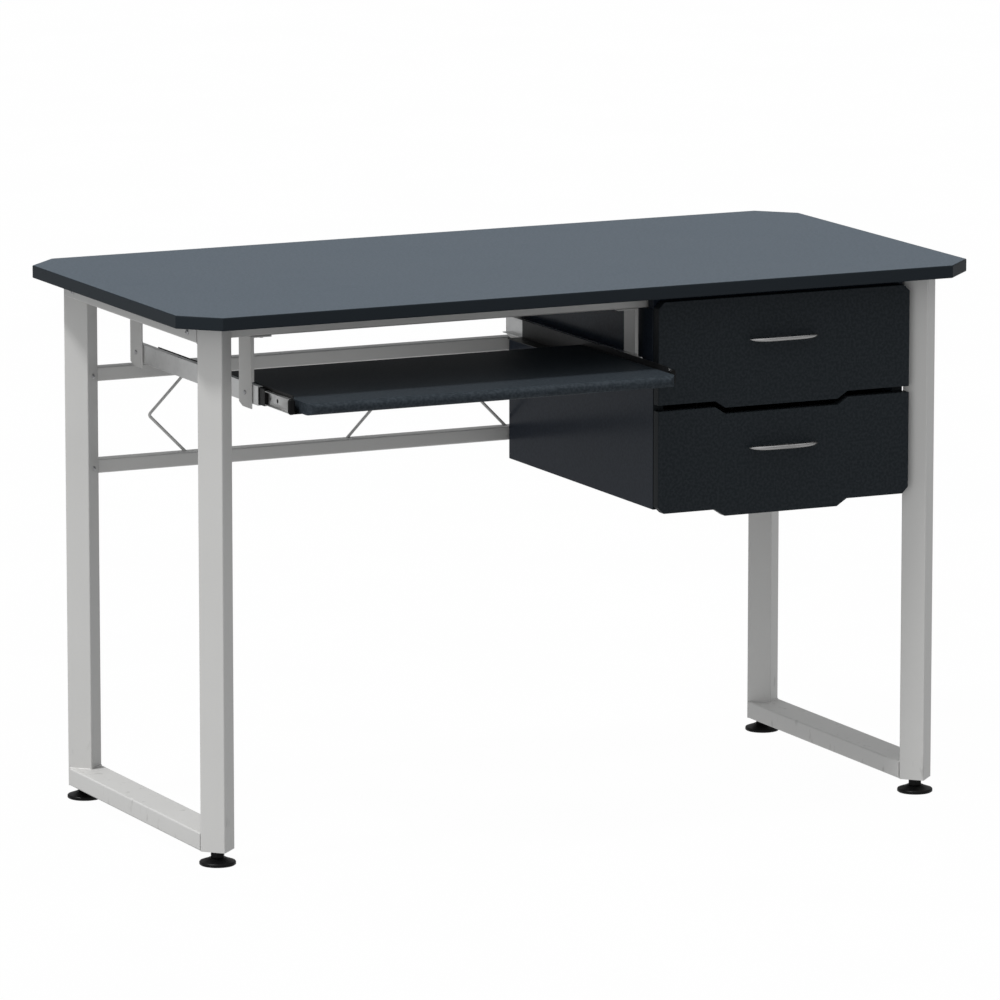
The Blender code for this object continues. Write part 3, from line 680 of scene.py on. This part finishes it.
for side in sides:
    low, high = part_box(f"leg_rear_{side}")
    middle = (low + high) / 2
    facing = Vector((-outward[side], -1, 0)).normalized()
    spots = []
    for level in levels:
        beam_low, beam_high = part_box(f"rear_stretcher_{level}")
        spots.append((*(middle + facing * LEG_HALF_SIDE).xy, (beam_low.z + beam_high.z) / 2))
    screws(f"{side} stretcher bolts", spots, facing, 0.0032, "desk", "socket")

# %% [markdown]
# Each tray hanger is a flat strip with a flange at the top. One screw through its foot holds the
# tray's slide, and two through the flange hold the hanger to the frame from below.

# %% Hanger screws
SLIDE_SCREW_HEIGHT = 0.636

for side in sides:
    for end in ends:
        low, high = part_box(f"tray_hanger_{end}_{side}")
        face = low.x if side == "left" else high.x
        spot = (face, (low.y + high.y) / 2, SLIDE_SCREW_HEIGHT)
        screws(f"{end} {side} hanger screw", [spot], (outward[side], 0, 0), 0.0032, "desk")
        inner = high.x if side == "left" else low.x
        flange = inner + outward[side] * 0.011
        below = high.z - 0.002
        pair = [(flange, low.y + 0.011, below), (flange, high.y - 0.011, below)]
        screws(f"{end} {side} flange screws", pair, (0, 0, -1), 0.0038, "desk")

# %% [markdown]
# ## Weld beads
# The frame is welded before it is painted, so each bead is a soft, slightly lumpy line under the
# same coat. A bead is a curve with a round bevel, laid in the corner where two tubes meet, half
# sunk in both. Its radius wanders a little from point to point, as a hand-held torch would leave
# it.

# %% Weld beads
def weld_bead(name, corners, radius=0.0013, pitch=0.003):
    """A bead along straight runs between corners."""
    curve = bpy.data.curves.new(name, "CURVE")
    curve.dimensions = "3D"
    curve.bevel_depth = radius
    curve.bevel_resolution = 2
    curve.use_fill_caps = True
    points = []
    for start, end in zip(corners, corners[1:]):
        start, end = Vector(start), Vector(end)
        count = max(2, round((end - start).length / pitch))
        points += [start.lerp(end, step / count) for step in range(count)]
    points.append(Vector(corners[-1]))
    spline = curve.splines.new("POLY")
    spline.points.add(len(points) - 1)
    for index, (knot, spot) in enumerate(zip(spline.points, points)):
        knot.co = (*spot, 1)
        knot.radius = 0.85 + 0.22 * math.sin(2.1 * index) * math.cos(0.7 * index)
    spline.use_smooth = True
    curve.materials.append(POWDER.material)
    piece = bpy.data.objects.new(name.replace(" ", "_"), curve)
    bpy.context.scene.collection.objects.link(piece)
    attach(piece, "desk")
    return piece


# The rail's ends fit round a leg that stands on its corner, so each bead is a shallow vee across the rail.
beads = 0
for side in sides:
    for end in ends:
        low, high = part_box(f"leg_{end}_{side}")
        middle = (low + high) / 2
        corner = (high.y - low.y) / 2
        inward = 1 if end == "front" else -1
        for place in ("top", "foot"):
            rail_low, rail_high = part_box(f"{place}_rail_{side}")
            half = (rail_high.x - rail_low.x) / 2 - 0.0012
            tip = middle.y + inward * (corner + 0.0004)
            wide = middle.y + inward * (corner + 0.0018 - half)
            height = rail_high.z if place == "foot" else rail_low.z
            path = [(middle.x - half, wide, height), (middle.x, tip, height), (middle.x + half, wide, height)]
            weld_bead(f"{place} rail {end} {side} bead", path)
            beads += 1

for level in levels:
    low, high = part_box(f"rear_stretcher_{level}")
    for name in rods:
        rod_low, rod_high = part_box(name)
        rod_y = (rod_low.y + rod_high.y) / 2
        height = low.z if level == "upper" else high.z
        points_left = "outer_left" in name or "inner_right" in name
        foot_x = rod_high.x - 0.0035 if points_left else rod_low.x + 0.0035
        ring = [(foot_x + 0.0035 * math.cos(turn), rod_y + 0.0027 * math.sin(turn), height)
                for turn in [math.radians(45 * step) for step in range(9)]]
        weld_bead(f"{name} {level} bead", ring, radius=0.0009, pitch=0.0012)
        beads += 1
print("weld beads:", beads)

# %% [markdown]
# ## The tray's ball slides
# A ball slide is two rolled channels, one inside the other, with rows of steel balls between them
# in a thin cage. The fixed channel is punched with screw holes and slots along its web. The
# moving one has a few holes of its own, and near its front end the black plastic latch of the
# cage shows. The holes are carved into the solids with a Boolean, which is a modifier and so
# leaves the solids' own shape alone.

# %% Slide holes
def web_holes(shape, x, spots, z):
    """Round and oblong punches through a web that stands across X."""
    for y, radius, stretch in spots:
        outline = []
        for step in range(20):
            angle = math.radians(18 * step)
            run = stretch if math.cos(angle) >= 0 else -stretch
            outline.append((0, radius * math.cos(angle) + run, radius * math.sin(angle)))
        pushed(shape, outline, (x - 0.006, y, z), (0.012, 0, 0))


for side in sides:
    fixed_low, fixed_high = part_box(f"tray_slide_fixed_{side}")
    moving_low, moving_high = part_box(f"tray_slide_moving_{side}")
    middle_z = (fixed_low.z + fixed_high.z) / 2
    fixed_web = fixed_low.x if side == "left" else fixed_high.x
    moving_web = moving_high.x if side == "left" else moving_low.x
    front = fixed_low.y
    punches = [(front + 0.075, 0.0020, 0), (front + 0.110, 0.0020, 0.005), (front + 0.3215, 0.0024, 0)]
    punches += [(front + 0.350, 0.0020, 0.005)]
    shape = bmesh.new()
    web_holes(shape, fixed_web - outward[side] * 0.0066, punches, middle_z)
    carve(solids[f"tray_slide_fixed_{side}"], shape, "desk")
    shape = bmesh.new()
    start = moving_low.y
    punches = [(start + 0.047, 0.0030, 0), (start + 0.069, 0.0018, 0), (start + 0.110, 0.0022, 0)]
    punches += [(start + 0.200, 0.0020, 0.005), (start + 0.300, 0.0022, 0)]
    web_holes(shape, moving_web, punches, middle_z)
    carve(solids[f"tray_slide_moving_{side}"], shape, "keyboard_tray")

# %% [markdown]
# The balls are icospheres, two rows of them for each slide, and the latch is a small plate with
# clipped front corners. Here both travel with the tray, which is a simplification: on a real slide
# the cage moves half as far as the tray, so that the balls stay between the two channels.

# %% Ball cages
BALL = 0.0011


def ball_cage(side):
    """A black cage at the mouth of the fixed channel, and rows of balls above and below the moving one."""
    fixed_low, fixed_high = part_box(f"tray_slide_fixed_{side}")
    moving_low, moving_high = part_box(f"tray_slide_moving_{side}")
    inner = outward[side]
    web = moving_high.x if side == "left" else moving_low.x
    shape = bmesh.new()
    cage_x = web + inner * 0.0064
    low_z, high_z = fixed_low.z + 0.0018, fixed_high.z - 0.0018
    rear_y = fixed_low.y
    front_y = rear_y - 0.019
    outline = [(0, front_y, low_z + 0.002), (0, front_y + 0.002, low_z), (0, rear_y, low_z)]
    outline += [(0, rear_y, high_z), (0, front_y + 0.002, high_z), (0, front_y, high_z - 0.002)]
    pushed(shape, outline, (cage_x, 0, 0), (-inner * 0.0045, 0, 0))
    fitting(f"{side} cage latch", shape, PLASTIC, "keyboard_tray")
    shape = bmesh.new()
    middle_x = (fixed_low.x + fixed_high.x) / 2
    for z in (moving_low.z - BALL, moving_high.z + BALL):
        for step in range(18):
            spot = Vector((middle_x, fixed_low.y + 0.004 + 0.012 * step, z))
            bmesh.ops.create_icosphere(shape, subdivisions=2, radius=BALL, matrix=Matrix.Translation(spot))
    fitting(f"{side} slide balls", shape, ZINC, "keyboard_tray")


for side in sides:
    ball_cage(side)

# %% [markdown]
# ## Rollers in the drawer runners
# Simple drawer runners roll on two nylon wheels: one at the front of the fixed channel and one at
# the back of the moving channel. They only show when a drawer is pulled out, but that is exactly
# when someone looks. Each wheel is turned with a crowned rim and held by a riveted pin.

# %% Rollers
def roller(name, place, axis, body):
    shape = bmesh.new()
    wheel = [(0, -0.0018), (0.0085, -0.0018), (0.0096, -0.0012), (0.0100, 0)]
    wheel += [(0.0096, 0.0012), (0.0085, 0.0018), (0, 0.0018)]
    turned(shape, wheel, place, axis, segments=32)
    fitting(name, shape, NYLON, body, smooth=60)
    pin = bmesh.new()
    rivet = [(0, -0.0026), (0.0022, -0.0026), (0.0022, 0.0024), (0.0016, 0.0030), (0, 0.0031)]
    turned(pin, rivet, place, axis)
    fitting(name + " pin", pin, SCREW, body)


for level in levels:
    for side in sides:
        low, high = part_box(f"{level}_drawer_runner_{side}")
        slide_low, slide_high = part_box(f"{level}_drawer_slider_{side}")
        x = (low.x + high.x) / 2 - outward[side] * 0.0012
        middle_z = (low.z + high.z) / 2
        roller(f"{level} {side} front roller", (x, low.y + 0.014, middle_z - 0.0008), (1, 0, 0), "desk")
        x = (slide_low.x + slide_high.x) / 2 + outward[side] * 0.0012
        rear_place = (x, high.y - 0.014, middle_z + 0.0004)
        roller(f"{level} {side} rear roller", rear_place, (1, 0, 0), f"{level}_drawer")

# %% [markdown]
# ## Screws inside the drawers
# The handle is held from inside by two screws through the drawer front, and the drawer's sides are screwed to
# the front and back boards; only the heads at the back board are drawn. These heads are what a maker sees on
# opening a drawer.

# %% Drawer screws
for level in levels:
    inner_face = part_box(f"{level}_drawer_front")[1].y
    bow_low, bow_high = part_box(f"{level}_drawer_handle")
    bow_z = (bow_low.z + bow_high.z) / 2
    inside = [(x, inner_face, bow_z) for x in (bow_low.x + 0.006, bow_high.x - 0.006)]
    screws(f"{level} handle screws", inside, (0, 1, 0), 0.0038, f"{level}_drawer")
    back_low, back_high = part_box(f"{level}_drawer_back")
    for side in sides:
        box_low, box_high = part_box(f"{level}_drawer_side_{side}")
        face = box_low.x if side == "left" else box_high.x
        tall = box_high.z - box_low.z
        spots = [(face, (back_low.y + back_high.y) / 2, box_low.z + part * tall) for part in (0.14, 0.86)]
        screws(f"{level} {side} box screws", spots, (outward[side], 0, 0), 0.0034, f"{level}_drawer")

tray_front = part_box("keyboard_tray")[0].y
for side in sides:
    low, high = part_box(f"tray_angle_{side}")
    x = (low.x + high.x) / 2 - outward[side] * 0.001
    spots = [(x, tray_front + along, low.z) for along in (0.05, 0.15, 0.26)]
    screws(f"{side} tray screws", spots, (0, 0, -1), 0.0034, "keyboard_tray")

# %% [markdown]
# ## Floor, light and camera
# The desk stands on a plain white floor that runs far past the view, so it is the background too.
# A sheet of paper that bright would throw as much light up as the sky throws down, and dark
# boards would turn grey. The floor is therefore shown to the camera only, and the sky's lower
# half stands in for a dimmer, more natural bounce.

# %% Floor
floor_mesh = bpy.data.meshes.new("floor")
FLOOR_REACH = 60.0
FLOOR_GAP = 0.0004
corners = [(x * FLOOR_REACH, y * FLOOR_REACH, 0) for x, y in ((-1, -1), (1, -1), (1, 1), (-1, 1))]
floor_mesh.from_pydata(corners, [], [(0, 1, 2, 3)])
floor = bpy.data.objects.new("floor", floor_mesh)
bpy.context.scene.collection.objects.link(floor)
floor.location.z = -FLOOR_GAP
PAPER = Finish("studio paper", Emission_Strength=1.0, Roughness=1.0, Specular_IOR_Level=0.0)
paper_cloud = grain(PAPER, 3, detail=2.0)
PAPER.drive(
    Base_Color=tint(paper_cloud, (0.004, 0.004, 0.004), (0.006, 0.006, 0.006)),
    Emission_Color=tint(paper_cloud, (0.995, 0.995, 0.995), (0.98, 0.98, 0.98)),
)
floor_mesh.materials.append(PAPER.material)
floor.visible_diffuse = False
floor.visible_glossy = False
floor.visible_shadow = False
floor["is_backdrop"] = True

# %% [markdown]
# The light is a tent of white cloth with a small sun high on the left. The tent is a sky that
# depends only on direction: bright overhead and low on the left, dimmer low on the right and
# behind, and dimmer still below. It gives the tubes their soft shading and the top its cool
# sheen. The sun draws the top's crisp shadow on the left legs.

# %% Light
OVERHEAD_GLOW = 1.0
LEFT_GLOW = 0.95
RIGHT_GLOW = 0.38
REAR_GLOW = 0.36
GROUND_GLOW = 0.65

world = bpy.data.worlds.new("studio")
world.use_nodes = True
bpy.context.scene.world = world
tent = Graph(world.node_tree, "Background")
outlook = tent.node("ShaderNodeTexCoord", output="Generated")
to_right, to_rear, upwards = [
    tent.node("ShaderNodeSeparateXYZ", {}, {"Vector": outlook}, output=axis) for axis in "XYZ"
]
low_glow = LEFT_GLOW + between(to_right, -0.3, 0.3) * (RIGHT_GLOW - LEFT_GLOW)
low_glow = low_glow + between(to_rear, -0.1, 0.3) * (REAR_GLOW - low_glow)
sky_glow = low_glow + between(upwards, 0.45, 0.75) * (OVERHEAD_GLOW - low_glow)
glow = GROUND_GLOW + between(upwards, -0.10, 0.05) * (sky_glow - GROUND_GLOW)
tent.drive(Color=(0.98, 0.99, 1.0, 1.0), Strength=glow)

sun = bpy.data.lights.new("sun", "SUN")
sun.energy = 2.6
sun.angle = math.radians(8)
sun_holder = bpy.data.objects.new("sun", sun)
sun_holder.rotation_euler = Vector((-1.0, -0.15, 1.8)).to_track_quat("Z", "Y").to_euler()
bpy.context.scene.collection.objects.link(sun_holder)
bpy.context.scene.view_settings.view_transform = "Standard"

# %% [markdown]
# The camera stands about eleven metres away with a long lens, which keeps the desk's upright lines
# nearly parallel. It looks a little down and in from the left, so that the top, the front and one
# side all show.

# %% Camera
lens = bpy.data.cameras.new("camera")
lens.lens = 280.34
lens.sensor_width = 36.0
camera = bpy.data.objects.new("camera", lens)
camera.location = (-4.6224, -9.6492, 2.3528)
camera.rotation_euler = (math.radians(90 - 10.2107), 0, math.radians(-25.5285))
bpy.context.scene.collection.objects.link(camera)
bpy.context.scene.camera = camera

# %% [markdown]
# The dressed desk must stay the size of its solids, so the amount by which its box outgrows theirs is
# printed, in millimetres.

shown_low, shown_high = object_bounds()
growths = [*(shown_high - cad_high), *(cad_low - shown_low)]
print("grown by:", [round(1000 * part, 2) for part in growths], "mm")
